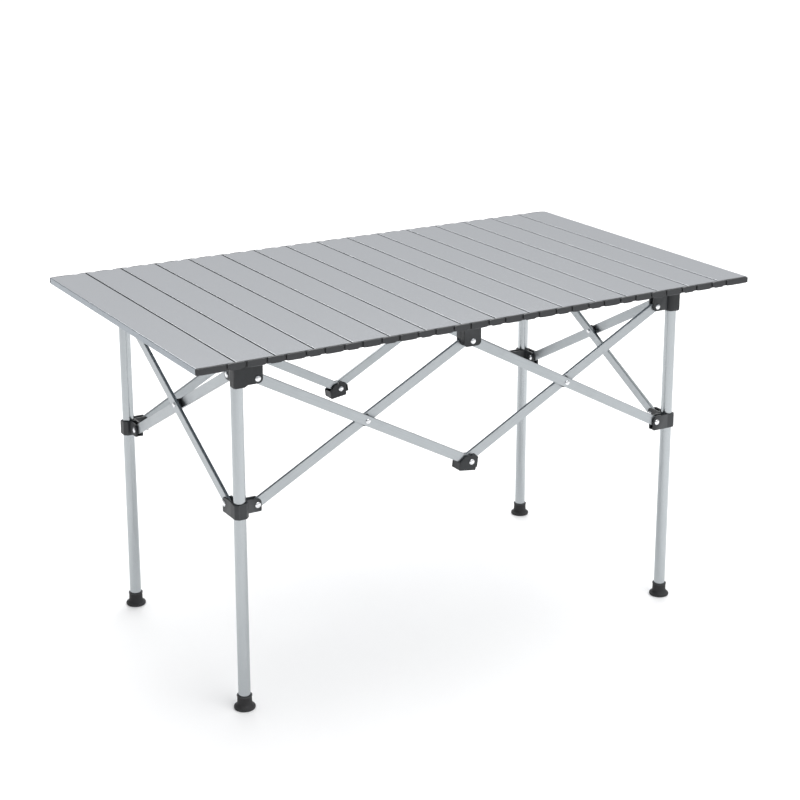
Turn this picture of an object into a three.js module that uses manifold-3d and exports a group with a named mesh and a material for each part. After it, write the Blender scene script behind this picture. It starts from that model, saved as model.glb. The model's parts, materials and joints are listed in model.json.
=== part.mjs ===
// A folding picnic table: a roll-up top of aluminium slats, resting on a folding scissor frame.
// Millimetres, +Z up, origin on the ground under the middle of the table.
// X runs along the table, Y from the front to the back.
import * as THREE from 'three';
import { mergeVertices } from 'three/addons/utils/BufferGeometryUtils.js';
import Module from 'manifold-3d';

const wasm = await Module();
wasm.setup();

// ---- driving dimensions ----
const TABLE_HEIGHT = 538;
const SLAT_COUNT = 16;
const SLAT_PITCH = 58;        // from one seam to the next
const SEAM_GAP = 1.6;
const SLAT_THICKNESS = 9.5;
const TOP_DEPTH = 545;        // slat length with both end caps
const BAR_SPAN = 346;         // sideways distance between a bar's two end pivots
const BAR_DROP = 186;         // height between a bar's two end pivots
const PIVOT_DEPTH = 48.5;     // from the table's surface down to the upper pivots
const BAR_WIDTH = 15;
const BAR_THICKNESS = 5;
const BAR_OFFSET = 4.5;       // from the plane of the legs to the middle of a bar
const REACH = 27;             // from a leg's axis to the pivots beside it
const LEG_RADIUS = 8.75;
const FIT = 0.3;              // gap between touching pieces

// ---- worked-out dimensions ----
const HALF_LENGTH = BAR_SPAN + REACH;      // leg axes along X: two crossings side by side
const HALF_DEPTH = BAR_SPAN / 2 + REACH;   // leg axes along Y: one crossing
const TOP_PIVOT_Z = TABLE_HEIGHT - PIVOT_DEPTH;
const LOW_PIVOT_Z = TOP_PIVOT_Z - BAR_DROP;
const BAR_LENGTH = Math.hypot(BAR_SPAN, BAR_DROP);
const BAR_ANGLE = Math.atan2(BAR_DROP, BAR_SPAN);
const REST_HEIGHT = PIVOT_DEPTH - SLAT_THICKNESS - FIT;        // bracket top above its pivots

// ---- smaller dimensions ----
const PIN_RADIUS = 2.1;
const HOLE_RADIUS = 2.5;
const SLOT_WIDTH = BAR_THICKNESS + 0.8;
const EAR_THICKNESS = 2.6;
const SOCKET_WIDTH = 25;
const SOCKET_BORE = LEG_RADIUS + FIT;
const SLIDER_BORE = LEG_RADIUS + 0.45;
const LEG_TOP = 24;           // leg end above the upper pivots
const LEG_WALL = 1.2;
const FOOT_HEIGHT = 21;
const FOOT_RADIUS = 15.5;
const FOOT_FLOOR = 4;
const EAR_ROUND = 7.6;
const SOCKET_LOW = -9;        // bottom of a top bracket below its pivots
const SLIDER_LOW = -13.5;
const SLIDER_HIGH = 9.5;
const SLAT_SKIN = 1.2;
const SLAT_WALL = 2;
const END_WALL = 6;
const SLAT_EDGE = 2.2;        // rounding of a slat's long edges
const TOP_CENTRE_HALF = 14.5;
const LOWER_CENTRE_HALF = 17.5;
const SPACER_RADIUS = 6.8;
const ROUND_STEPS = 16;

// ---- materials ----
function finish(color, roughness, metalness) {
  return new THREE.MeshStandardMaterial({ color, roughness, metalness });
}
const polished = finish(0x9fa1a3, 0.22, 0.9);
const satin = finish(0xb9bdc0, 0.42, 0.85);
const plastic = finish(0x2b2c2e, 0.5, 0);
const rivetSteel = finish(0xd5d8da, 0.2, 1);

// ---- solids ----
function toSolid(geometry) {
  const bare = geometry.index ? geometry.toNonIndexed() : geometry.clone();
  bare.deleteAttribute('normal');
  bare.deleteAttribute('uv');
  const merged = mergeVertices(bare, 1e-4);
  return new wasm.Manifold(new wasm.Mesh({
    numProp: 3,
    vertProperties: new Float32Array(merged.attributes.position.array),
    triVerts: new Uint32Array(merged.index.array),
  }));
}

function toGeometry(solid) {
  const mesh = solid.getMesh();
  const geometry = new THREE.BufferGeometry();
  geometry.setAttribute('position', new THREE.BufferAttribute(new Float32Array(mesh.vertProperties), 3));
  geometry.setIndex(new THREE.BufferAttribute(new Uint32Array(mesh.triVerts), 1));
  return geometry;
}

function join(geometries) {
  return geometries.map(toSolid).reduce((whole, piece) => whole.add(piece));
}

function cut(solid, geometries) {
  return geometries.map(toSolid).reduce((rest, piece) => rest.subtract(piece), solid);
}

function box(x0, x1, y0, y1, z0, z1) {
  const geometry = new THREE.BoxGeometry(x1 - x0, y1 - y0, z1 - z0);
  return geometry.translate((x0 + x1) / 2, (y0 + y1) / 2, (z0 + z1) / 2);
}

// An outline in X and Z, made into a plate from y0 to y1.
function plateY(shape, y0, y1, curveSegments = 4) {
  const geometry = new THREE.ExtrudeGeometry(shape, { depth: y1 - y0, bevelEnabled: false, curveSegments });
  return geometry.rotateX(Math.PI / 2).translate(0, y1, 0);
}

function cylinderY(radius, x, z, y0, y1, steps = 10) {
  return new THREE.CylinderGeometry(radius, radius, y1 - y0, steps).translate(x, (y0 + y1) / 2, z);
}

function cylinderZ(radius, z0, z1, steps = ROUND_STEPS) {
  const geometry = new THREE.CylinderGeometry(radius, radius, z1 - z0, steps);
  return geometry.rotateX(Math.PI / 2).translate(0, 0, (z0 + z1) / 2);
}

function polygon(points) {
  return new THREE.Shape(points.map(([x, z]) => new THREE.Vector2(x, z)));
}

function lathe(profile, steps = ROUND_STEPS) {
  const points = profile.map(([radius, z]) => new THREE.Vector2(radius, z));
  return new THREE.LatheGeometry(points, steps).rotateX(Math.PI / 2);
}

// A square block with its upright edges cut off.
function socketBlock(z0, z1, width, corner) {
  const half = width / 2;
  const cutAt = half - corner;
  const outline = polygon([
    [-half, -cutAt], [-cutAt, -half], [cutAt, -half], [half, -cutAt],
    [half, cutAt], [cutAt, half], [-cutAt, half], [-half, cutAt],
  ]);
  const geometry = new THREE.ExtrudeGeometry(outline, { depth: z1 - z0, bevelEnabled: false });
  return geometry.translate(0, 0, z0);
}

// ---- top slats ----
function slat() {
  const half = (SLAT_PITCH - SEAM_GAP) / 2;
  const r = SLAT_EDGE;
  const shape = new THREE.Shape();
  shape.moveTo(-half + r, -SLAT_THICKNESS);
  shape.lineTo(half - r, -SLAT_THICKNESS);
  shape.lineTo(half, -SLAT_THICKNESS + r);
  shape.lineTo(half, -r);
  shape.absarc(half - r, -r, r, 0, Math.PI / 2);
  shape.absarc(-half + r, -r, r, Math.PI / 2, Math.PI);
  shape.lineTo(-half, -SLAT_THICKNESS + r);
  const body = toSolid(plateY(shape, -TOP_DEPTH / 2, TOP_DEPTH / 2, 2));
  const end = TOP_DEPTH / 2 - END_WALL;
  const low = -SLAT_THICKNESS - 1;
  const hollows = [-1, 1].map((side) => {
    const near = side * SLAT_WALL / 2;
    const far = side * (half - SLAT_WALL);
    return box(Math.min(near, far), Math.max(near, far), -end, end, low, -SLAT_SKIN);
  });
  return toGeometry(cut(body, hollows));
}

// ---- scissor bars ----
function bar() {
  const half = BAR_LENGTH / 2;
  const r = BAR_WIDTH / 2;
  const shape = new THREE.Shape();
  shape.absarc(half, 0, r, -Math.PI / 2, Math.PI / 2);
  shape.absarc(-half, 0, r, Math.PI / 2, 3 * Math.PI / 2);
  for (const x of [-half, 0, half]) {
    const hole = new THREE.Path();
    hole.absarc(x, 0, HOLE_RADIUS, 0, 2 * Math.PI);
    shape.holes.push(hole);
  }
  return plateY(shape, -BAR_THICKNESS / 2, BAR_THICKNESS / 2);
}

function crossSpacer() {
  const half = BAR_OFFSET - BAR_THICKNESS / 2 - FIT;
  const ring = [
    [HOLE_RADIUS, -half], [SPACER_RADIUS, -half], [SPACER_RADIUS, half],
    [HOLE_RADIUS, half], [HOLE_RADIUS, -half],
  ];
  return lathe(ring, 12).rotateX(Math.PI / 2);
}

function crossRivet() {
  const seat = BAR_OFFSET + BAR_THICKNESS / 2 + 0.05;
  const headRadius = 4;
  const headHeight = 2;
  const profile = [
    [0, -seat - headHeight], [headRadius * 0.7, -seat - headHeight * 0.7], [headRadius, -seat],
    [PIN_RADIUS, -seat], [PIN_RADIUS, seat],
    [headRadius, seat], [headRadius * 0.7, seat + headHeight * 0.7], [0, seat + headHeight],
  ];
  return lathe(profile, 10).rotateX(Math.PI / 2);
}

// ---- legs and feet ----
function leg() {
  const low = FOOT_FLOOR + FIT;
  const high = TOP_PIVOT_Z + LEG_TOP;
  const inner = LEG_RADIUS - LEG_WALL;
  return lathe([[inner, low], [LEG_RADIUS, low], [LEG_RADIUS, high], [inner, high], [inner, low]]);
}

function foot() {
  const neck = LEG_RADIUS + FIT + 1.4;
  const bore = LEG_RADIUS + FIT;
  return lathe([
    [0, 0], [FOOT_RADIUS, 0], [FOOT_RADIUS, 4], [FOOT_RADIUS - 2, 6.5], [neck + 0.6, 11],
    [neck, FOOT_HEIGHT], [bore, FOOT_HEIGHT], [bore, FOOT_FLOOR], [0, FOOT_FLOOR],
  ]);
}

// ---- corner brackets, built with their pivots at z = 0 ----
function topEar() {
  const shape = new THREE.Shape();
  shape.moveTo(6, EAR_ROUND);
  shape.lineTo(6, SOCKET_LOW);
  shape.lineTo(SOCKET_WIDTH / 2, SOCKET_LOW);
  shape.lineTo(REACH - 9, -EAR_ROUND);
  shape.lineTo(REACH, -EAR_ROUND);
  shape.absarc(REACH, 0, EAR_ROUND, -Math.PI / 2, Math.PI / 2);
  return shape;
}

function sliderEar(low) {
  const end = REACH + 6;
  const round = 6;
  const shape = new THREE.Shape();
  shape.moveTo(6, SLIDER_HIGH);
  shape.lineTo(6, low);
  shape.lineTo(end - 2, low);
  shape.lineTo(end, low + 2);
  shape.lineTo(end, SLIDER_HIGH - round);
  shape.absarc(end - round, SLIDER_HIGH - round, round, 0, Math.PI / 2);
  return shape;
}

// Two ears and their pin, for a bar that runs along +X in the plane y = offset.
function fork(ear, offset) {
  const inner = SLOT_WIDTH / 2;
  const outer = inner + EAR_THICKNESS;
  return [
    plateY(ear, offset - outer, offset - inner),
    plateY(ear, offset + inner, offset + outer),
    cylinderY(PIN_RADIUS, REACH, 0, offset - outer, offset + outer),
  ];
}

function turnedQuarter(geometries) {
  return geometries.map((geometry) => geometry.rotateZ(Math.PI / 2));
}

function topBracket() {
  const body = join([
    socketBlock(SOCKET_LOW, REST_HEIGHT - 4, SOCKET_WIDTH, 3),
    socketBlock(REST_HEIGHT - 4.5, REST_HEIGHT, 38, 6),
    ...fork(topEar(), -BAR_OFFSET),
    ...turnedQuarter(fork(topEar(), -BAR_OFFSET)),
  ]);
  return toGeometry(cut(body, [cylinderZ(SOCKET_BORE, -20, LEG_TOP + FIT)]));
}

function sliderBracket() {
  const body = join([
    socketBlock(SLIDER_LOW, SLIDER_HIGH - 2, SOCKET_WIDTH, 3),
    ...fork(sliderEar(SLIDER_LOW + 3.5), BAR_OFFSET),
    ...turnedQuarter(fork(sliderEar(SLIDER_LOW), BAR_OFFSET)),
  ]);
  return toGeometry(cut(body, [cylinderZ(SLIDER_BORE, -30, 20)]));
}

// ---- centre connectors, built with their shared pivot at the origin ----
// The outer bar's slot lies at -Y; the inner bar's slot is the same, turned half way about Z.
const SLOT_NEAR = BAR_OFFSET - SLOT_WIDTH / 2;
const SLOT_FAR = BAR_OFFSET + SLOT_WIDTH / 2;
const CONNECTOR_FACE = SLOT_FAR + EAR_THICKNESS;
const BAR_ROOM = BAR_WIDTH / 2 + 0.9;      // clear radius round a bar's end

function bothWays(geometry) {
  return [geometry, geometry.clone().rotateZ(Math.PI)];
}

function connectorPin() {
  return cylinderY(PIN_RADIUS, 0, 0, -CONNECTOR_FACE, CONNECTOR_FACE);
}

// The bars swing from nearly level to nearly straight down.
function topCentre() {
  const half = TOP_CENTRE_HALF;
  const block = plateY(polygon([
    [-half, REST_HEIGHT], [-half, -4], [-half + 4, -8], [half - 4, -8], [half, -4], [half, REST_HEIGHT],
  ]), -CONNECTOR_FACE, CONNECTOR_FACE);
  const slot = box(-BAR_ROOM, half + 1, -SLOT_FAR, -SLOT_NEAR, -10, BAR_ROOM);
  return toGeometry(cut(toSolid(block), bothWays(slot)).add(toSolid(connectorPin())));
}

// The bars swing from nearly level to nearly straight up.
function lowerCentre() {
  const half = LOWER_CENTRE_HALF;
  const middle = polygon([
    [-half, -14], [half, -14], [half, -2], [11, 8.5], [3, 14], [-3, 14], [-11, 8.5], [-half, -2],
  ]);
  const wall = polygon([
    [-half, -14], [6.5, -14], [11, -10], [11, 8.5], [3, 14], [-3, 12], [-10, 6], [-half, -2],
  ]);
  const floor = box(-half, 6.5, -SLOT_FAR - 0.5, -SLOT_NEAR + 0.5, -14, -BAR_ROOM - 2.5);
  const stop = box(BAR_ROOM, 11, -SLOT_FAR - 0.5, -SLOT_NEAR + 0.5, -9, 8);
  return toGeometry(join([
    plateY(middle, -SLOT_NEAR, SLOT_NEAR),
    ...bothWays(plateY(wall, -CONNECTOR_FACE, -SLOT_FAR)),
    ...bothWays(floor),
    ...bothWays(stop),
    connectorPin(),
  ]));
}

// ---- assembly ----
const group = new THREE.Group();

function place(name, geometry, material, position, turn = 0) {
  const mesh = new THREE.Mesh(geometry, material);
  mesh.name = name;
  mesh.position.set(...position);
  mesh.rotation.z = turn;
  group.add(mesh);
  return mesh;
}

function addTop() {
  const geometry = slat();
  for (let i = 0; i < SLAT_COUNT; i += 1) {
    const x = (i - (SLAT_COUNT - 1) / 2) * SLAT_PITCH;
    place(`slat_${String(i + 1).padStart(2, '0')}`, geometry, polished, [x, 0, TABLE_HEIGHT]);
  }
}

// The four corners hold the same pieces, each a quarter turn from the one before.
const CORNERS = [
  ['front_left', -1, -1, 0],
  ['front_right', 1, -1, Math.PI / 2],
  ['back_right', 1, 1, Math.PI],
  ['back_left', -1, 1, -Math.PI / 2],
];

function addCorners() {
  const shapes = { leg: leg(), foot: foot(), topBracket: topBracket(), slider: sliderBracket() };
  for (const [corner, sideX, sideY, turn] of CORNERS) {
    const x = sideX * HALF_LENGTH;
    const y = sideY * HALF_DEPTH;
    place(`leg_${corner}`, shapes.leg, satin, [x, y, 0]);
    place(`foot_${corner}`, shapes.foot, plastic, [x, y, 0]);
    place(`top_bracket_${corner}`, shapes.topBracket, plastic, [x, y, TOP_PIVOT_Z], turn);
    place(`slider_${corner}`, shapes.slider, plastic, [x, y, LOW_PIVOT_Z], turn);
  }
}

function addCentreConnectors() {
  const upper = topCentre();
  const lower = lowerCentre();
  for (const [side, y, turn] of [['front', -HALF_DEPTH, 0], ['back', HALF_DEPTH, Math.PI]]) {
    place(`top_centre_${side}`, upper, plastic, [0, y, TOP_PIVOT_Z], turn);
    place(`lower_centre_${side}`, lower, plastic, [0, y, LOW_PIVOT_Z], turn);
  }
}

// One crossing: two bars on either side of a plane, with a spacer between them and a rivet through both.
// In its own frame the outer bar lies at -Y and falls towards +X; turn swings the pair about Z.
function addCrossing(name, x, y, turn) {
  const z = (TOP_PIVOT_Z + LOW_PIVOT_Z) / 2;
  const crossing = new THREE.Group();
  crossing.position.set(x, y, z);
  crossing.rotation.z = turn;
  const shape = bar();
  for (const [which, side] of [['outer', -1], ['inner', 1]]) {
    const mesh = new THREE.Mesh(shape, satin);
    mesh.name = `bar_${name}_${which}`;
    mesh.position.y = side * BAR_OFFSET;
    mesh.rotation.y = -side * BAR_ANGLE;
    crossing.add(mesh);
  }
  for (const [piece, geometry, material] of [
    ['spacer', crossSpacer(), plastic],
    ['rivet', crossRivet(), rivetSteel],
  ]) {
    const mesh = new THREE.Mesh(geometry, material);
    mesh.name = `cross_${piece}_${name}`;
    crossing.add(mesh);
  }
  group.add(crossing);
}

function addCrossings() {
  const x = BAR_SPAN / 2;
  addCrossing('front_left', -x, -HALF_DEPTH, 0);
  addCrossing('front_right', x, -HALF_DEPTH, 0);
  addCrossing('back_right', x, HALF_DEPTH, Math.PI);
  addCrossing('back_left', -x, HALF_DEPTH, Math.PI);
  addCrossing('left', -HALF_LENGTH, 0, -Math.PI / 2);
  addCrossing('right', HALF_LENGTH, 0, Math.PI / 2);
}

addTop();
addCorners();
addCentreConnectors();
addCrossings();

export default group;
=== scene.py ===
"""Looks for a folding picnic table: a roll-up aluminium top on a folding scissor frame.

Metres, +Z up, X along the table, Y from front to back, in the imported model's own frame.
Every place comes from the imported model; the small shapes are sized by the named values below.
"""

import json
import math

import bmesh
import bpy
from mathutils import Matrix, Vector


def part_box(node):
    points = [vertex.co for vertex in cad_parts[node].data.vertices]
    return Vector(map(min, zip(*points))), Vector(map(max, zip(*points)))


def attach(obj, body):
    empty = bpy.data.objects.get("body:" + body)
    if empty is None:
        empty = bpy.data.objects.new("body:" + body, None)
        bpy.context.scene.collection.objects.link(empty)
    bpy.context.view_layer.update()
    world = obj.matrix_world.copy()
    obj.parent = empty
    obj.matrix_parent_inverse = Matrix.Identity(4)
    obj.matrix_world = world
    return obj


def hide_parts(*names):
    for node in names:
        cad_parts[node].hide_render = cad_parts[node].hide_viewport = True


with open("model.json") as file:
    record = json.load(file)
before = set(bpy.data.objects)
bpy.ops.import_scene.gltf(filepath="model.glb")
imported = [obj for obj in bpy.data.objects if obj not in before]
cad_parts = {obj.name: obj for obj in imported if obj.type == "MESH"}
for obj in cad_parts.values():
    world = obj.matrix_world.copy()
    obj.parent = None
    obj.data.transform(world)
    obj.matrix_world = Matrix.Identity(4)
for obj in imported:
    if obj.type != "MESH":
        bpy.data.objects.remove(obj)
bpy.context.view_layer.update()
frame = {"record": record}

MM = 0.001

# ---- places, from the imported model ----
JOINTS = {joint["name"]: Vector(joint["pos_m"])
          for joint in frame["record"]["behaviour"]["joints"] if "pos_m" in joint}
LEG_LOW, LEG_HIGH = (Vector(corner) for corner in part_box("leg_front_left"))
FOOT_LOW, FOOT_HIGH = (Vector(corner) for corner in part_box("foot_front_left"))
SLAT_LOW, SLAT_HIGH = (Vector(corner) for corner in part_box("slat_01"))
HALF_LENGTH = -(LEG_LOW.x + LEG_HIGH.x) / 2
HALF_DEPTH = -(LEG_LOW.y + LEG_HIGH.y) / 2
LEG_RADIUS = (LEG_HIGH.x - LEG_LOW.x) / 2
TOP_Z = JOINTS["frame_fold"].z
LOW_Z = JOINTS["lower_centre_front_pivot"].z
SPAN = abs(JOINTS["slider_front_left_pivot"].x)
DROP = TOP_Z - LOW_Z
REACH = HALF_LENGTH - SPAN
BAR_LENGTH = math.hypot(SPAN, DROP)
BAR_SLOPE = math.atan2(DROP, SPAN)
REST = SLAT_LOW.z - TOP_Z - 0.3 * MM      # height of the brackets' tops over their pivots

# ---- sizes ----
SLAT_COUNT = 16
SLAT_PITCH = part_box("slat_02")[0][0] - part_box("slat_01")[0][0]
SLAT_WIDTH = SLAT_HIGH.x - SLAT_LOW.x
SLAT_THICKNESS = SLAT_HIGH.z - SLAT_LOW.z
SLAT_LENGTH = SLAT_HIGH.y - SLAT_LOW.y
CAP_DEPTH = 4 * MM
CAP_SHARE = 0.515                         # of the pitch: a cap's part of the front edge
CAP_GAP = 2.8 * MM                        # between a cap's face and a link's
CAP_SHOULDER = 1.6 * MM                   # how far the recess between two faces stands out from the slat
CAP_CUT = 0.5 * MM
LINK_CUT = 3.2 * MM                       # a rolled link clears the layer outside it
BAR_WIDTH = 15 * MM
BAR_THICKNESS = 5 * MM
BAR_OFFSET = 4.5 * MM                     # from the legs' plane to a bar's middle
SLOT = 2.9 * MM                           # half of a fork's slot
EAR = 3.4 * MM                            # thickness of a fork's ear
WALL_FACE = BAR_OFFSET + SLOT + EAR       # from the legs' plane to a wall's outer face
PROUD = 0.15 * MM                         # a block hides the edges of the ears that run into it
BORE = LEG_RADIUS + 0.45 * MM
PIN_RADIUS = 2.1 * MM
HEAD_RADIUS = 4.4 * MM
HEAD_HEIGHT = 1.9 * MM
CROSS_HEAD_RADIUS = 4 * MM
CROSS_HEAD_HEIGHT = 2 * MM
SLIDER_LOW = -13.5 * MM                   # a slider's ends, from its pivots
SLIDER_HIGH = 9.5 * MM
LOWER_CENTRE_LEAN = math.radians(8)       # the lower centres hang a little askew on their rivets

# Name, side along X, side along Y, and the turn of the corner's pieces about the leg.
CORNERS = [
    ("front_left", -1, -1, 0),
    ("front_right", 1, -1, 90),
    ("back_right", 1, 1, 180),
    ("back_left", -1, 1, 270),
]
# Name, place along X and Y, and the turn of the pair of bars about Z.
CROSSINGS = [
    ("front_left", -SPAN / 2, -HALF_DEPTH, 0),
    ("front_right", SPAN / 2, -HALF_DEPTH, 0),
    ("back_right", SPAN / 2, HALF_DEPTH, 180),
    ("back_left", -SPAN / 2, HALF_DEPTH, 180),
    ("left", -HALF_LENGTH, 0, -90),
    ("right", HALF_LENGTH, 0, 90),
]


# ---- outlines and solids ----
def rounded(points, radii, steps=6):
    """An outline with rounded corners. radii is one number, or one for each corner."""
    if not isinstance(radii, (list, tuple)):
        radii = [radii] * len(points)
    outline = []
    for index, corner in enumerate(points):
        radius = radii[index]
        here = Vector(corner)
        if radius <= 0:
            outline.append(here)
            continue
        to_last = (Vector(points[index - 1]) - here).normalized()
        to_next = (Vector(points[(index + 1) % len(points)]) - here).normalized()
        half = to_last.angle(to_next) / 2
        centre = here + (to_last + to_next).normalized() * (radius / math.sin(half))
        first = here + to_last * (radius / math.tan(half)) - centre
        last = here + to_next * (radius / math.tan(half)) - centre
        sweep = first.angle_signed(last)
        for step in range(steps + 1):
            turn = Matrix.Rotation(-sweep * step / steps, 2)
            outline.append(centre + turn @ first)
    return outline


def plate(outline, low, high, bevel=0.5 * MM, segments=2):
    """A plate with softened rims: an outline in X and Z, from low to high along Y."""
    solid = bmesh.new()
    count = len(outline)
    near = [solid.verts.new((x, low, z)) for x, z in outline]
    far = [solid.verts.new((x, high, z)) for x, z in outline]
    solid.faces.new(near)
    solid.faces.new(list(reversed(far)))
    for index in range(count):
        after = (index + 1) % count
        solid.faces.new((near[index], far[index], far[after], near[after]))
    bmesh.ops.recalc_face_normals(solid, faces=solid.faces)
    if bevel > 0:
        sharp = [edge for edge in solid.edges if edge.calc_face_angle() > math.radians(32)]
        bmesh.ops.bevel(solid, geom=sharp, offset=bevel, segments=segments, profile=0.5,
                        affect="EDGES", clamp_overlap=True)
    return solid


def column(outline, low, high, bevel):
    """An upright prism with softened rims: an outline in X and Y, from low to high."""
    standing = [(x, -y) for x, y in outline]
    return moved(plate(standing, low, high, bevel, 3), Matrix.Rotation(math.pi / 2, 4, "X"))


def box(low, high, bevel=0.3 * MM):
    """A block between two corners."""
    outline = [(low[0], low[2]), (low[0], high[2]), (high[0], high[2]), (high[0], low[2])]
    return plate(outline, low[1], high[1], bevel)


def skin(rings, closed):
    """A surface through rings of points. closed joins the last ring to the first."""
    solid = bmesh.new()
    rows = [[solid.verts.new(point) for point in ring] for ring in rings]
    pairs = list(zip(rows, rows[1:]))
    if closed:
        pairs.append((rows[-1], rows[0]))
    for lower, upper in pairs:
        count = len(lower)
        for index in range(count):
            after = (index + 1) % count
            solid.faces.new((lower[index], lower[after], upper[after], upper[index]))
    bmesh.ops.remove_doubles(solid, verts=solid.verts, dist=1e-7)
    bmesh.ops.dissolve_degenerate(solid, edges=solid.edges, dist=1e-7)
    bmesh.ops.recalc_face_normals(solid, faces=solid.faces)
    return solid


def turned(profile, steps=48, closed=False):
    """A profile of (radius, z) points, turned about Z."""
    rings = []
    for radius, z in profile:
        ring = []
        for step in range(steps):
            angle = 2 * math.pi * step / steps
            ring.append((radius * math.cos(angle), radius * math.sin(angle), z))
        rings.append(ring)
    return skin(rings, closed)


def sleeve(half, cut, bore, low, high, rim, scoop, steps=96):
    """A square sleeve with cut corners and a round bore.

    cut is how far the slanting corner faces are from the axis. scoop lowers the top at the corner away
    from the forks.
    """
    inside = [(bore, low + rim), (bore + rim, low)]
    outside = [(half - rim, low), (half, low + rim), (half, high - rim), (half - rim, high)]
    top_edge = [(bore + rim, high), (bore, high - rim)]
    profile = [(*point, False) for point in inside]
    profile += [(*point, True) for point in outside]
    profile += [(*point, False) for point in top_edge]
    middle = (low + high) / 2
    rings = []
    for size, z, square in profile:
        ring = []
        for step in range(steps):
            angle = 2 * math.pi * (step + 0.5) / steps
            radius = size
            if square:
                cosine = abs(math.cos(angle))
                sine = abs(math.sin(angle))
                to_corner = size * cut / half * math.sqrt(2) / (cosine + sine)
                radius = min(size / max(cosine, sine), to_corner)
            away = max(0.0, -math.cos(angle - math.pi / 4)) ** 2
            drop = scoop * away if z > middle else 0.0
            ring.append((radius * math.cos(angle), radius * math.sin(angle), z - drop))
        rings.append(ring)
    return skin(rings, closed=True)


def moved(solid, matrix):
    bmesh.ops.transform(solid, matrix=matrix, verts=solid.verts)
    return solid


def quarter(solids):
    return [moved(solid, Matrix.Rotation(math.pi / 2, 4, "Z")) for solid in solids]


def to_mesh(name, solids, crease=38):
    """One mesh from several solids, smooth except at its edges."""
    whole = bmesh.new()
    for solid in solids:
        part = bpy.data.meshes.new("part")
        solid.to_mesh(part)
        solid.free()
        whole.from_mesh(part)
        bpy.data.meshes.remove(part)
    mesh = bpy.data.meshes.new(name)
    whole.to_mesh(mesh)
    whole.free()
    mesh.shade_smooth()
    mesh.set_sharp_from_angle(angle=math.radians(crease))
    return mesh


def paint_faces(mesh, materials, choose):
    """Gives each face one of the materials. choose returns its number."""
    for material in materials:
        mesh.materials.append(material)
    for face in mesh.polygons:
        face.material_index = choose(face)


def add_piece(name, mesh, material, body, place, stands_for=None):
    """Puts a mesh in the scene and on its body. material is for a mesh that has none of its own."""
    piece = bpy.data.objects.new(name, mesh)
    bpy.context.scene.collection.objects.link(piece)
    if not mesh.materials:
        mesh.materials.append(material)
    piece.matrix_world = place
    level = piece.modifiers.new("level_normals", "WEIGHTED_NORMAL")
    level.keep_sharp = True
    level.weight = 80
    bpy.context.view_layer.update()
    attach(piece, body)
    if stands_for:
        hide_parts(stands_for)


def spot(x, y, z, turn=0):
    return Matrix.Translation((x, y, z)) @ Matrix.Rotation(math.radians(turn), 4, "Z")


# ---- materials ----
class Paint:
    """A material's node tree, with short calls for the few nodes these finishes use.

    The colour and roughness it starts with count only where no pattern is linked over them.
    """

    def __init__(self, name, color, metallic, roughness):
        self.material = bpy.data.materials.new(name)
        self.material.use_nodes = True
        self.tree = self.material.node_tree
        self.shader = self.tree.nodes["Principled BSDF"]
        self.shader.inputs["Base Color"].default_value = (*color, 1)
        self.shader.inputs["Metallic"].default_value = metallic
        self.shader.inputs["Roughness"].default_value = roughness
        self.coords = self.tree.nodes.new("ShaderNodeTexCoord").outputs["Object"]

    def noise(self, scale, stretch=(1, 1, 1), detail=3.0, rough=0.5):
        mapping = self.tree.nodes.new("ShaderNodeMapping")
        mapping.inputs["Scale"].default_value = stretch
        self.tree.links.new(self.coords, mapping.inputs["Vector"])
        texture = self.tree.nodes.new("ShaderNodeTexNoise")
        texture.inputs["Scale"].default_value = scale
        texture.inputs["Detail"].default_value = detail
        texture.inputs["Roughness"].default_value = rough
        self.tree.links.new(mapping.outputs["Vector"], texture.inputs["Vector"])
        return texture.outputs["Fac"]

    def ramp(self, value, low, high, start=0.3, end=0.7):
        """Low and high are two greys or two colours."""
        node = self.tree.nodes.new("ShaderNodeValToRGB")
        for element, at, tone in zip(node.color_ramp.elements, (start, end), (low, high)):
            element.position = at
            element.color = (*tone, 1) if isinstance(tone, tuple) else (tone, tone, tone, 1)
        self.tree.links.new(value, node.inputs["Fac"])
        return node.outputs["Color"]

    def mix(self, share, first, second):
        """first where share is 0, second where it is 1. Each of the two is a socket or a colour."""
        node = self.tree.nodes.new("ShaderNodeMix")
        node.data_type = "RGBA"
        for socket_name, value in (("Factor", share), ("A", first), ("B", second)):
            target = [socket for socket in node.inputs if socket.name == socket_name and socket.enabled][0]
            if isinstance(value, bpy.types.NodeSocket):
                self.tree.links.new(value, target)
            else:
                target.default_value = (*value, 1)
        return [socket for socket in node.outputs if socket.enabled][0]

    def edges(self):
        """High where an edge or corner sticks out, for wear."""
        node = self.tree.nodes.new("ShaderNodeNewGeometry")
        return node.outputs["Pointiness"]

    def color(self, value):
        self.tree.links.new(value, self.shader.inputs["Base Color"])

    def roughness(self, value):
        self.tree.links.new(value, self.shader.inputs["Roughness"])

    def bump(self, value, depth, strength):
        node = self.tree.nodes.new("ShaderNodeBump")
        node.inputs["Distance"].default_value = depth
        node.inputs["Strength"].default_value = strength
        self.tree.links.new(value, node.inputs["Height"])
        self.tree.links.new(node.outputs["Normal"], self.shader.inputs["Normal"])


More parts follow.
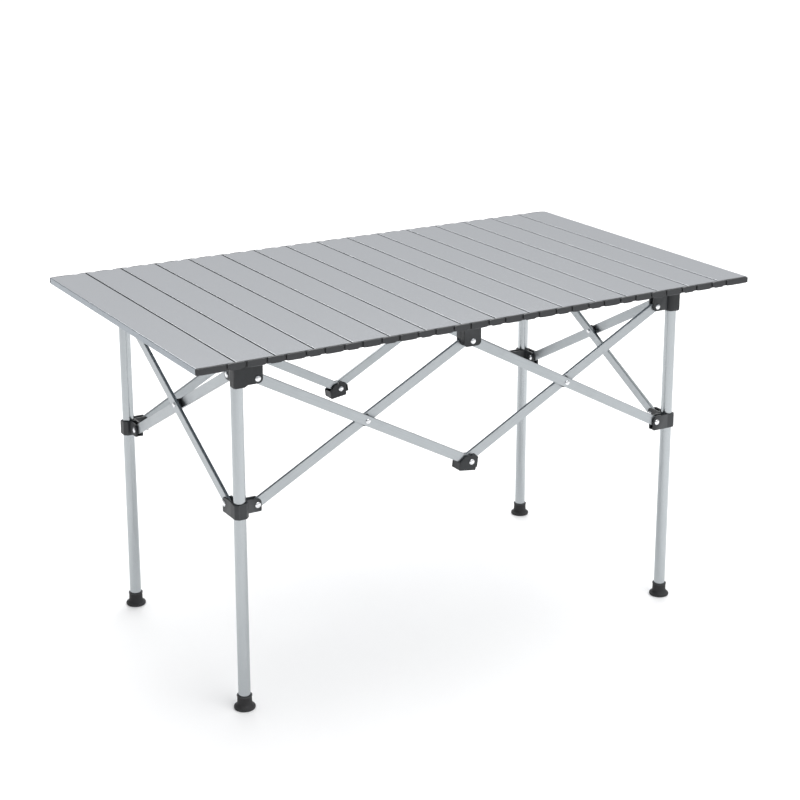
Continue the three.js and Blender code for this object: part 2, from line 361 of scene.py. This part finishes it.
def drawn_metal(name, dark, light, smooth, rough, along, grain=1.0):
    """Extruded or drawn aluminium: fine lines along one axis, soft cloudiness, faint handling marks."""
    stretch_along = 0.012
    cloud_share = 0.35
    mark_share = 0.4
    mark_roughness = rough * 1.25
    line_depth = 0.02 * MM * grain
    paint = Paint(name, light, 1.0, rough)
    stretch = [1.0, 1.0, 1.0]
    stretch["XYZ".index(along)] = stretch_along
    lines = paint.noise(2600, stretch, detail=4, rough=0.65)
    clouds = paint.noise(11, detail=4)
    marks = paint.noise(70, detail=6, rough=0.7)
    tone = paint.ramp(lines, dark, light)
    paint.color(paint.mix(paint.ramp(clouds, 0.0, cloud_share, start=0.35, end=0.7), tone, light))
    shine = paint.ramp(lines, smooth, rough, start=0.25, end=0.75)
    smudge = paint.ramp(marks, 0.0, mark_share, start=0.5, end=0.75)
    paint.roughness(paint.mix(smudge, shine, (mark_roughness, mark_roughness, mark_roughness)))
    paint.bump(lines, line_depth, strength=0.35)
    return paint.material


def black_plastic(name, dark, light, smooth, rough, grain_mm):
    """Moulded black plastic: a fine grain, slow colour drift and paler worn edges."""
    worn = (0.11, 0.115, 0.12)
    grain_depth = 0.05 * MM
    paint = Paint(name, dark, 0.0, rough)
    grain = paint.noise(0.55 / (grain_mm * MM), detail=2)
    drift = paint.noise(45, detail=3)
    base = paint.ramp(drift, dark, light)
    wear = paint.ramp(paint.edges(), 0.0, 0.5, start=0.53, end=0.62)
    paint.color(paint.mix(wear, base, worn))
    paint.roughness(paint.ramp(grain, smooth, rough))
    paint.bump(grain, grain_depth, strength=0.45)
    return paint.material


def bright_rivet():
    """Plated steel: short scratches and duller patches."""
    bright = (0.9, 0.91, 0.92)
    dull = (0.66, 0.67, 0.69)
    unpatterned = (0.86, 0.87, 0.88)
    scratch_depth = 0.02 * MM
    paint = Paint("rivet_bright", unpatterned, 1.0, 0.2)
    scratches = paint.noise(900, (1, 1, 0.2), detail=5, rough=0.7)
    patches = paint.noise(160, detail=3)
    paint.color(paint.ramp(patches, dull, bright, start=0.3, end=0.6))
    paint.roughness(paint.ramp(scratches, 0.12, 0.32))
    paint.bump(scratches, scratch_depth, strength=0.3)
    return paint.material


# Name, darker and lighter tone, least and greatest roughness, and the grain.
SLAT_METAL = drawn_metal("slat_polished", (0.74, 0.76, 0.785), (0.77, 0.79, 0.815), 0.06, 0.09, "Y", 0.08)
# Under the top and on the free side: a rougher mill surface, and partly painted shade, far darker than the
# top for the shadow under the table.
SLAT_MILL_AND_SHADE = drawn_metal("slat_mill_and_painted_shade", (0.26, 0.29, 0.32), (0.34, 0.37, 0.40), 0.26, 0.4, "Y")
# Side walls at the seams: painted shade, a near-black copy of the slat metal for the shadow in the gaps.
SLAT_SEAM_SHADE = drawn_metal("slat_seam_painted_shade", (0.10, 0.11, 0.12), (0.15, 0.16, 0.17), 0.35, 0.5, "Y")
LEG_METAL = drawn_metal("leg_satin", (0.38, 0.405, 0.42), (0.46, 0.485, 0.50), 0.18, 0.28, "Z")
BAR_METAL = drawn_metal("bar_satin", (0.36, 0.385, 0.40), (0.45, 0.475, 0.49), 0.3, 0.44, "X")
# Narrow faces of the bars: a painted dark reflection, partly the cut edge's own darker tone.
BAR_EDGE_REFLECTION = drawn_metal("bar_edge_painted_reflection", (0.25, 0.27, 0.28), (0.34, 0.36, 0.37), 0.22, 0.34, "X")
CAP_PLASTIC = black_plastic("cap_plastic", (0.013, 0.014, 0.016), (0.022, 0.024, 0.027), 0.34, 0.5, 0.35)
# The recess between a cap and a link: painted shade, a blacker copy of the cap plastic.
CAP_RECESS_SHADE = black_plastic("cap_recess_painted_shade", (0.004, 0.004, 0.005), (0.007, 0.007, 0.008), 0.6, 0.75, 0.35)
BRACKET_PLASTIC = black_plastic("bracket_plastic", (0.006, 0.008, 0.01), (0.012, 0.015, 0.018),
                                0.4, 0.56, 0.4)
FOOT_RUBBER = black_plastic("foot_rubber", (0.012, 0.012, 0.013), (0.022, 0.022, 0.024), 0.55, 0.75, 0.5)
RIVET_METAL = bright_rivet()


# ---- the top ----
def slat_section():
    """An open channel with a middle rib and small lips, all one outline."""
    half = SLAT_WIDTH / 2
    top = 1.4 * MM
    wall = 1.6 * MM
    lip = 4 * MM
    rib = 1.5 * MM
    low = -SLAT_THICKNESS
    lip_high = low + 1.2 * MM
    rib_low = low + 1 * MM
    points = [
        (-half, low), (-half, 0), (half, 0), (half, low),
        (half - lip, low), (half - lip, lip_high), (half - wall, lip_high), (half - wall, -top),
        (rib, -top), (rib, rib_low), (-rib, rib_low), (-rib, -top),
        (-half + wall, -top), (-half + wall, lip_high), (-half + lip, lip_high), (-half + lip, low),
    ]
    edge = 1 * MM
    small = 0.3 * MM
    radii = [small, edge, edge, small] + [small] * 12
    return rounded(points, radii, steps=5)


def slat_mesh(name, free_side):
    """A slat: polished on top; below and on its free side (-1, 0 or 1) a rougher, much darker metal, partly
    painted shade; painted shade on the side walls at the seams.
    """
    # plain is a rougher metal painted darker as painted shade under the top; dark is painted shade at the
    # seams.
    polished, plain, dark = range(3)
    seam = SLAT_WIDTH / 2 - 1.1 * MM
    near_top = -1 * MM

    def finish_and_painted_shade(face):
        if face.normal.z > 0.9 and face.center.z > near_top:
            return polished
        if abs(face.center.x) < seam or face.center.x * free_side > seam:
            return plain
        return dark

    length = SLAT_LENGTH - 2 * CAP_DEPTH
    mesh = to_mesh(name, [plate(slat_section(), -length / 2, length / 2, bevel=0)], crease=50)
    paint_faces(mesh, (SLAT_METAL, SLAT_MILL_AND_SHADE, SLAT_SEAM_SHADE), finish_and_painted_shade)
    return mesh


def add_slats():
    plain = slat_mesh("slat", 0)
    outer = {1: slat_mesh("slat_left", -1), SLAT_COUNT: slat_mesh("slat_right", 1)}
    for number in range(1, SLAT_COUNT + 1):
        node = f"slat_{number:02d}"
        low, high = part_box(node)
        place = spot((low[0] + high[0]) / 2, 0, SLAT_HIGH.z)
        mesh = outer.get(number, plain)
        add_piece(f"channel_{number:02d}", mesh, SLAT_METAL, node, place, node)


def end_face(width, cut):
    """A cap's or a link's face: an arched top, rounded corners and a bottom cut back at both ends."""
    half = width / 2
    low = -SLAT_THICKNESS
    crown = half * 0.4
    heel = half * 0.55
    left_drop = 0.7 * MM
    right_drop = 0.5 * MM
    points = [
        (-half, low + cut), (-half, -left_drop), (-crown, 0), (crown, 0),
        (half, -right_drop), (half, low + cut), (heel, low), (-heel, low),
    ]
    radii = [1.2 * MM, 2.2 * MM, 3 * MM, 3 * MM, 1.6 * MM, 1.2 * MM, 2 * MM, 2 * MM]
    outline = rounded(points, radii, steps=5)
    return plate(outline, -CAP_DEPTH + 0.2 * MM, 0, bevel=0.55 * MM, segments=3)


def cap_mesh(name, width, aside):
    """A slat's cap: its face, and a shoulder as wide as the slat, whose front back in the recess is painted
    blacker as painted shade.

    aside is from the face's middle to the slat's.
    """
    half = SLAT_WIDTH / 2 - 0.1 * MM
    inset = 0.5 * MM
    shoulder = box((aside - half, -CAP_SHOULDER, -SLAT_THICKNESS + inset), (aside + half, 0, -inset))
    mesh = to_mesh(name, [end_face(width, CAP_CUT), shoulder])
    near_recess = 0.4 * MM

    # The shoulder's front, back in the recess, gets the blacker plastic as painted shade.
    def recess(face):
        return int(abs(face.center.y + CAP_SHOULDER) < near_recess)

    paint_faces(mesh, (CAP_PLASTIC, CAP_RECESS_SHADE), recess)
    return mesh


def add_end_pieces():
    """Caps on the slats' ends, and links over the seams between them."""
    cap = CAP_SHARE * SLAT_PITCH - CAP_GAP
    link = (1 - CAP_SHARE) * SLAT_PITCH - CAP_GAP
    outer_cap = (SLAT_WIDTH + cap) / 2
    aside = (SLAT_WIDTH - outer_cap) / 2
    inner_mesh = cap_mesh("cap", cap, 0)
    left_mesh = cap_mesh("outer_cap_left", outer_cap, aside)
    right_mesh = cap_mesh("outer_cap_right", outer_cap, -aside)
    link_mesh = to_mesh("link", [end_face(link, LINK_CUT)])
    ends = (("front", -1, 0, left_mesh, right_mesh), ("back", 1, 180, right_mesh, left_mesh))
    for side, sign, turn, first_mesh, last_mesh in ends:
        outer = {1: (first_mesh, -aside), SLAT_COUNT: (last_mesh, aside)}
        y = sign * (SLAT_LENGTH / 2 - CAP_DEPTH)
        for number in range(1, SLAT_COUNT + 1):
            body = f"slat_{number:02d}"
            low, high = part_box(body)
            middle = (low[0] + high[0]) / 2
            mesh, shift = outer.get(number, (inner_mesh, 0))
            add_piece(f"cap_{side}_{number:02d}", mesh, CAP_PLASTIC, body,
                      spot(middle + shift, y, SLAT_HIGH.z, turn))
            if number < SLAT_COUNT:
                add_piece(f"link_{side}_{number:02d}", link_mesh, CAP_PLASTIC, body,
                          spot(middle + SLAT_PITCH / 2, y, SLAT_HIGH.z, turn))


# ---- bars, crossings and rivets ----
def bar_mesh():
    """A flat bar with round ends, along X; its narrow faces are darker: a painted dark reflection, partly the
    cut edge's own tone.
    """
    half = BAR_LENGTH / 2
    radius = BAR_WIDTH / 2
    steps = 20
    outline = []
    for side in (1, -1):
        for step in range(steps + 1):
            angle = math.pi * (step / steps - 0.5)
            outline.append((side * (half + radius * math.cos(angle)), side * radius * math.sin(angle)))
    solid = plate(outline, -BAR_THICKNESS / 2, BAR_THICKNESS / 2, bevel=0.9 * MM, segments=3)
    mesh = to_mesh("bar", [solid])
    # The narrow faces get the darker metal: a painted dark reflection.
    paint_faces(mesh, (BAR_METAL, BAR_EDGE_REFLECTION), lambda face: int(abs(face.normal.y) < 0.3))
    return mesh


def rivet_mesh(name, half_length, radius=HEAD_RADIUS, height=HEAD_HEIGHT):
    """A pin along Y with a domed head at each end."""
    rim = 0.35 * MM
    steps = 8
    profile = []
    for step in range(steps + 1):
        angle = math.pi / 2 * step / steps
        profile.append((radius * math.sin(angle), half_length + rim + (height - rim) * math.cos(angle)))
    profile += [(radius, half_length), (PIN_RADIUS, half_length)]
    whole = profile + [(r, -z) for r, z in reversed(profile)]
    return to_mesh(name, [moved(turned(whole, 32), Matrix.Rotation(math.pi / 2, 4, "X"))])


def spacer_mesh():
    """A square block with round corners, set along one bar of its crossing."""
    half_gap = BAR_OFFSET - BAR_THICKNESS / 2 - 0.2 * MM
    half = BAR_WIDTH / 2 - 0.3 * MM
    square = rounded([(-half, -half), (half, -half), (half, half), (-half, half)], 2.5 * MM)
    lean = Matrix.Rotation(-BAR_SLOPE, 4, "Y")
    return to_mesh("spacer", [moved(plate(square, -half_gap, half_gap), lean)])


def add_bars():
    bar = bar_mesh()
    rivet = rivet_mesh("crossing_rivet", BAR_OFFSET + BAR_THICKNESS / 2, CROSS_HEAD_RADIUS, CROSS_HEAD_HEIGHT)
    spacer = spacer_mesh()
    for name, x, y, turn in CROSSINGS:
        middle = spot(x, y, (TOP_Z + LOW_Z) / 2, turn)
        for which, side in (("outer", -1), ("inner", 1)):
            tilt = Matrix.Rotation(-side * BAR_SLOPE, 4, "Y")
            place = middle @ Matrix.Translation((0, side * BAR_OFFSET, 0)) @ tilt
            node = f"bar_{name}_{which}"
            add_piece(f"strip_{name}_{which}", bar, BAR_METAL, node, place, node)
        body = f"bar_{name}_outer"
        add_piece(f"crossing_rivet_{name}", rivet, RIVET_METAL, body, middle,
                  f"cross_rivet_{name}")
        add_piece(f"crossing_spacer_{name}", spacer, BRACKET_PLASTIC, body, middle,
                  f"cross_spacer_{name}")


# ---- legs and feet ----
def leg_mesh():
    """A tube with broken edges."""
    low = LEG_LOW.z
    high = LEG_HIGH.z
    inner = LEG_RADIUS - 1.2 * MM
    rim = 0.25 * MM
    profile = [(inner, low), (LEG_RADIUS - rim, low), (LEG_RADIUS, low + rim),
               (LEG_RADIUS, high - rim), (LEG_RADIUS - rim, high), (inner, high)]
    return to_mesh("leg_tube", [turned(profile, 64, closed=True)])


def foot_mesh():
    """A flared rubber foot with a rolled rim and a collar round the tube."""
    radius = FOOT_HIGH.x - (FOOT_LOW.x + FOOT_HIGH.x) / 2
    high = FOOT_HIGH.z
    neck = LEG_RADIUS + 1.7 * MM
    bore = LEG_RADIUS + 0.1 * MM
    collar = neck + 0.6 * MM
    sole = 4 * MM
    under = [(0, 0), (radius - 1.6 * MM, 0), (radius - 0.5 * MM, 0.5 * MM), (radius, 1.6 * MM)]
    rim = [(radius, 3.2 * MM), (radius - 0.5 * MM, 4.2 * MM), (radius - 1.6 * MM, 4.7 * MM)]
    flare = [(radius - 2.2 * MM, 5.2 * MM), (neck + 1.2 * MM, 6.8 * MM), (neck + 0.5 * MM, 8.6 * MM)]
    shaft = [(neck + 0.2 * MM, 11 * MM), (neck, high - 2.6 * MM), (neck + 0.1 * MM, high - 2.1 * MM)]
    edge = [(collar, high - 1.8 * MM), (collar, high - 0.4 * MM), (neck + 0.2 * MM, high)]
    inside = [(bore, high), (bore, sole), (0, sole)]
    return to_mesh("foot_boot", [turned(under + rim + flare + shaft + edge + inside, 64)])


# ---- brackets and connectors ----
def fork(outline, offset):
    """Two ears, for a bar that runs along +X in the plane y = offset."""
    return [
        plate(outline, offset - SLOT - EAR, offset - SLOT, bevel=0.6 * MM, segments=3),
        plate(outline, offset + SLOT, offset + SLOT + EAR, bevel=0.6 * MM, segments=3),
    ]


def top_bracket_solids():
    """A block over the leg, two tall forks, a cheek across the front and the flange under the slats.

    The cheek is the front fork's outer ear and the block's front face in one plate.
    """
    low = -10 * MM
    ear_low = -7.3 * MM
    high = REST - 1 * MM
    left = -9 * MM
    inner = 9.2 * MM
    end = REACH + 8 * MM
    end_round = 6.8 * MM
    root = 3 * MM
    ear = rounded([(root, high), (root, ear_low), (end, ear_low), (end, high)], [0, 0, end_round, 1 * MM])
    cheek_outline = rounded(
        [(left + PROUD, high), (left + PROUD, low), (7.5 * MM, low), (12 * MM, ear_low), (end, ear_low),
         (end, high)],
        [0, 3.5 * MM, 3 * MM, 4 * MM, end_round, 1 * MM])
    cheek = plate(cheek_outline, -WALL_FACE, -WALL_FACE + EAR, bevel=0.9 * MM, segments=3)
    front = -WALL_FACE + 0.5 * MM
    plan = rounded([(left, front), (inner, front), (inner, inner), (left, inner)],
                   [2.2 * MM, 3 * MM, 3 * MM, 8.6 * MM], 10)
    block = column(plan, low, high, 2.6 * MM)
    far = end + 1 * MM
    beside = WALL_FACE + 1 * MM
    before = -WALL_FACE - 2 * MM
    corner = 3 * MM
    flange_plan = rounded(
        [(left - 2 * MM, before), (far, before), (far, 4 * MM), (beside, 11 * MM), (beside, far),
         (left + 4 * MM, far)],
        [4 * MM, corner, corner, corner, corner, 4 * MM])
    flange = column(flange_plan, REST - 3 * MM, REST, 0.8 * MM)
    front_inner_ear = fork(ear, -BAR_OFFSET)[1:]
    side_fork = quarter(fork(ear, -BAR_OFFSET))
    return [block, flange, cheek] + front_inner_ear + side_fork


def channel(offset, low):
    """A slider's fork: two ears and the floor under the bar's end."""
    root = 4 * MM
    end = REACH + 6 * MM
    ear = rounded([(root, SLIDER_HIGH), (root, low), (end, low), (end, SLIDER_HIGH)],
                  [0, 0, 1.6 * MM, 6.5 * MM])
    floor = box((9 * MM, offset - SLOT, low + 0.3 * MM), (end - 1 * MM, offset + SLOT, low + 2.2 * MM))
    return fork(ear, offset) + [floor]


def slider_solids():
    """A sleeve round the leg and two forks, one of them shallower."""
    corner_cut = 11.9 * MM
    rim = 0.8 * MM
    scoop = 1.6 * MM
    body = sleeve(WALL_FACE + PROUD, corner_cut, BORE, SLIDER_LOW - PROUD, SLIDER_HIGH + PROUD, rim, scoop)
    shallow = channel(BAR_OFFSET, SLIDER_LOW + 3.5 * MM)
    return [body] + shallow + quarter(channel(BAR_OFFSET, SLIDER_LOW))


def top_centre_solids():
    """A closed block round two bars. Each bar leaves by an opening under one half of an end."""
    left = -15 * MM
    right = 14.3 * MM
    low = -8 * MM
    wall = 1.8 * MM
    outline = rounded([(left, REST), (left, low), (right, low), (right, REST)],
                      [0.8 * MM, 6 * MM, 6 * MM, 0.8 * MM], 8)
    over_bar = 2.2 * MM
    sill = low + 4 * MM
    roof_low = BAR_WIDTH / 2 + 0.9 * MM
    roof_high = REST - 0.2 * MM
    middle = BAR_OFFSET - SLOT
    inside = WALL_FACE - EAR
    buried = inside + 1 * MM
    return [
        plate(outline, -WALL_FACE, -inside, bevel=0.9 * MM, segments=3),
        plate(outline, inside, WALL_FACE, bevel=0.9 * MM, segments=3),
        plate(outline, -middle, middle),
        box((left + wall, -buried, roof_low), (right - wall, buried, roof_high)),
        box((left, -buried, sill), (left + wall, -middle, roof_high)),
        box((left, -middle, over_bar), (left + wall, buried, roof_high)),
        box((right - wall, middle, sill), (right, buried, roof_high)),
        box((right - wall, -buried, over_bar), (right, middle, roof_high)),
    ]


def lower_centre_solids():
    """A tray with a wall in front, a wall behind and a rib between the two bars."""
    far_end = 20 * MM
    near_end = 8.5 * MM
    low = -13.2 * MM
    bar_sill = -0.6 * MM
    foot_round = 1.5 * MM
    front = rounded(
        [(-far_end, low), (near_end, low), (11 * MM, 7.2 * MM), (3.2 * MM, 12.6 * MM), (-0.4 * MM, 11.8 * MM),
         (-1.4 * MM, 9.6 * MM), (-10.6 * MM, 9.3 * MM), (-far_end, bar_sill)],
        [foot_round, foot_round, 1.2 * MM, 1 * MM, 0.6 * MM, 1 * MM, 4.5 * MM, foot_round])
    back_high = 8 * MM
    back = rounded(
        [(-far_end, low), (far_end, low), (far_end, bar_sill), (10.6 * MM, back_high), (-6 * MM, back_high),
         (-far_end, bar_sill)],
        [foot_round, foot_round, foot_round, 4 * MM, 3 * MM, 2 * MM])
    rib_half = 12 * MM
    rib_shoulder = 2 * MM
    rib = rounded([(-rib_half, low), (rib_half, low), (rib_half, rib_shoulder), (back_high, back_high),
                   (-back_high, back_high), (-rib_half, rib_shoulder)], 1 * MM, 4)
    middle = BAR_OFFSET - SLOT
    inside = WALL_FACE - EAR
    end_high = -1.5 * MM
    thick = 2 * MM
    edge = 0.4 * MM
    floor_low = low + edge
    floor_high = low + thick
    return [
        plate(front, -WALL_FACE, -inside, bevel=0.6 * MM, segments=3),
        plate(back, inside, WALL_FACE, bevel=0.6 * MM, segments=3),
        plate(rib, -middle, middle),
        box((-far_end + edge, -inside - thick, floor_low), (near_end, WALL_FACE - edge, floor_high)),
        box((-far_end + edge, -inside - thick, floor_low), (-far_end + thick, WALL_FACE - edge, end_high)),
        box((near_end - thick, middle, floor_low), (far_end - edge, inside + thick, floor_high)),
        box((far_end - thick, middle, floor_low), (far_end - edge, inside + thick, end_high)),
    ]


def add_corners():
    leg = leg_mesh()
    foot = foot_mesh()
    bracket = to_mesh("top_bracket", top_bracket_solids())
    slider = to_mesh("slider", slider_solids())
    rivet = rivet_mesh("fork_rivet", SLOT + EAR)
    for name, side_x, side_y, turn in CORNERS:
        x = side_x * HALF_LENGTH
        y = side_y * HALF_DEPTH
        corner_body = f"corner_{name}"
        slider_body = f"slider_{name}"
        add_piece(f"tube_{name}", leg, LEG_METAL, corner_body, spot(x, y, 0), f"leg_{name}")
        add_piece(f"boot_{name}", foot, FOOT_RUBBER, corner_body, spot(x, y, 0),
                  f"foot_{name}")
        add_piece(f"bracket_{name}", bracket, BRACKET_PLASTIC, corner_body,
                  spot(x, y, TOP_Z, turn), f"top_bracket_{name}")
        add_piece(f"sleeve_{name}", slider, BRACKET_PLASTIC, slider_body,
                  spot(x, y, LOW_Z, turn), f"slider_{name}")
        for body, z, offset in ((corner_body, TOP_Z, -BAR_OFFSET), (slider_body, LOW_Z, BAR_OFFSET)):
            for fork_name, swing in (("a", 0), ("b", 90)):
                place = spot(x, y, z, turn + swing) @ Matrix.Translation((REACH, offset, 0))
                add_piece(f"rivet_{body}_{fork_name}", rivet, RIVET_METAL, body, place)


def add_centres():
    rivet = rivet_mesh("centre_rivet", BAR_OFFSET + SLOT + EAR)
    top = to_mesh("top_centre", top_centre_solids())
    lower = to_mesh("lower_centre", lower_centre_solids())
    sides = (("front", -HALF_DEPTH, LOWER_CENTRE_LEAN), ("back", HALF_DEPTH, -LOWER_CENTRE_LEAN))
    for side, y, lean in sides:
        for kind, mesh, z, tilt in (("top", top, TOP_Z, 0), ("lower", lower, LOW_Z, lean)):
            node = f"{kind}_centre_{side}"
            middle = spot(0, y, z)
            place = middle @ Matrix.Rotation(tilt, 4, "Y")
            add_piece(f"block_{node}", mesh, BRACKET_PLASTIC, node, place, node)
            add_piece(f"rivet_{node}", rivet, RIVET_METAL, node, place)


# ---- stage ----
def add_floor():
    """A wide pale floor that glows a little, so that it stays white round the table's shadow."""
    pale = (0.87, 0.87, 0.87)
    greyer = (0.84, 0.84, 0.845)
    unpatterned = (0.86, 0.86, 0.86)
    glow = 0.16
    half = 14
    floor = Paint("floor_pale", unpatterned, 0.0, 0.7)
    floor.color(floor.ramp(floor.noise(1.5), greyer, pale))
    floor.shader.inputs["Emission Color"].default_value = (1, 1, 1, 1)
    floor.shader.inputs["Emission Strength"].default_value = glow
    solid = bmesh.new()
    corners = [(-half, -half, 0), (half, -half, 0), (half, half, 0), (-half, half, 0)]
    solid.faces.new([solid.verts.new(corner) for corner in corners])
    mesh = to_mesh("floor", [solid])
    mesh.materials.append(floor.material)
    plane = bpy.data.objects.new("floor", mesh)
    bpy.context.scene.collection.objects.link(plane)


def add_world():
    """A white room. The table sees it darker on the left and low down, where its top mirrors the room."""
    world = bpy.data.worlds.new("studio")
    bpy.context.scene.world = world
    world.use_nodes = True
    nodes = world.node_tree.nodes
    links = world.node_tree.links
    background = nodes["Background"]
    direction = nodes.new("ShaderNodeTexCoord").outputs["Generated"]
    split = nodes.new("ShaderNodeSeparateXYZ")
    links.new(direction, split.inputs["Vector"])
    ramp = nodes.new("ShaderNodeValToRGB")
    horizon, above = ramp.color_ramp.elements
    horizon.position = 0.08
    horizon.color = (0.42, 0.43, 0.45, 1)
    above.position = 0.75
    above.color = (1, 1, 1, 1)
    links.new(split.outputs["Z"], ramp.inputs["Fac"])
    seen = nodes.new("ShaderNodeLightPath").outputs["Is Camera Ray"]
    backdrop = nodes.new("ShaderNodeMixRGB")
    backdrop.inputs["Color2"].default_value = (1, 1, 1, 1)
    links.new(seen, backdrop.inputs["Fac"])
    links.new(ramp.outputs["Color"], backdrop.inputs["Color1"])
    links.new(backdrop.outputs["Color"], background.inputs["Color"])
    shade = nodes.new("ShaderNodeMapRange")
    shade.inputs["From Min"].default_value = -0.9
    shade.inputs["From Max"].default_value = 0.1
    shade.inputs["To Min"].default_value = 0.4
    shade.inputs["To Max"].default_value = 1
    links.new(split.outputs["X"], shade.inputs["Value"])
    strength = nodes.new("ShaderNodeMath")
    strength.operation = "MAXIMUM"
    links.new(shade.outputs["Result"], strength.inputs[0])
    links.new(seen, strength.inputs[1])
    links.new(strength.outputs["Value"], background.inputs["Strength"])


def add_light(name, place, aim, size, power):
    """A square area light. size is its side in metres, power is in watts."""
    light = bpy.data.lights.new(name, "AREA")
    light.shape = "SQUARE"
    light.size = size
    light.energy = power
    lamp = bpy.data.objects.new(name, light)
    lamp.location = place
    lamp.rotation_euler = (Vector(aim) - Vector(place)).to_track_quat("-Z", "Y").to_euler()
    bpy.context.scene.collection.objects.link(lamp)


def add_lights():
    table = (0, 0, 0.4)
    add_light("key", (0.5, -2.7, 3), table, 2.4, 50)
    add_light("overhead", (0.4, 0.6, 3.4), table, 3.2, 52)
    add_light("far_floor", (3, 5, 4), (3, 5, 0), 6, 260)


def add_camera():
    """The camera stands front left of the table, a little above it."""
    place = (-1.33918, -2.26304, 1.2245)
    yaw = math.radians(30.65)
    pitch = math.radians(15.38)
    focal_share = 2.2081                  # focal length over the picture's width
    camera = bpy.data.cameras.new("camera")
    camera.sensor_width = 36
    camera.lens = focal_share * camera.sensor_width
    camera.shift_y = -0.125
    camera.clip_end = 60
    eye = bpy.data.objects.new("camera", camera)
    eye.location = place
    forward = Vector((math.sin(yaw) * math.cos(pitch), math.cos(yaw) * math.cos(pitch), -math.sin(pitch)))
    eye.rotation_euler = forward.to_track_quat("-Z", "Y").to_euler()
    bpy.context.scene.collection.objects.link(eye)
    bpy.context.scene.camera = eye


add_slats()
add_end_pieces()
add_bars()
add_corners()
add_centres()
add_floor()
add_world()
add_lights()
add_camera()
bpy.context.scene.view_settings.view_transform = "Standard"
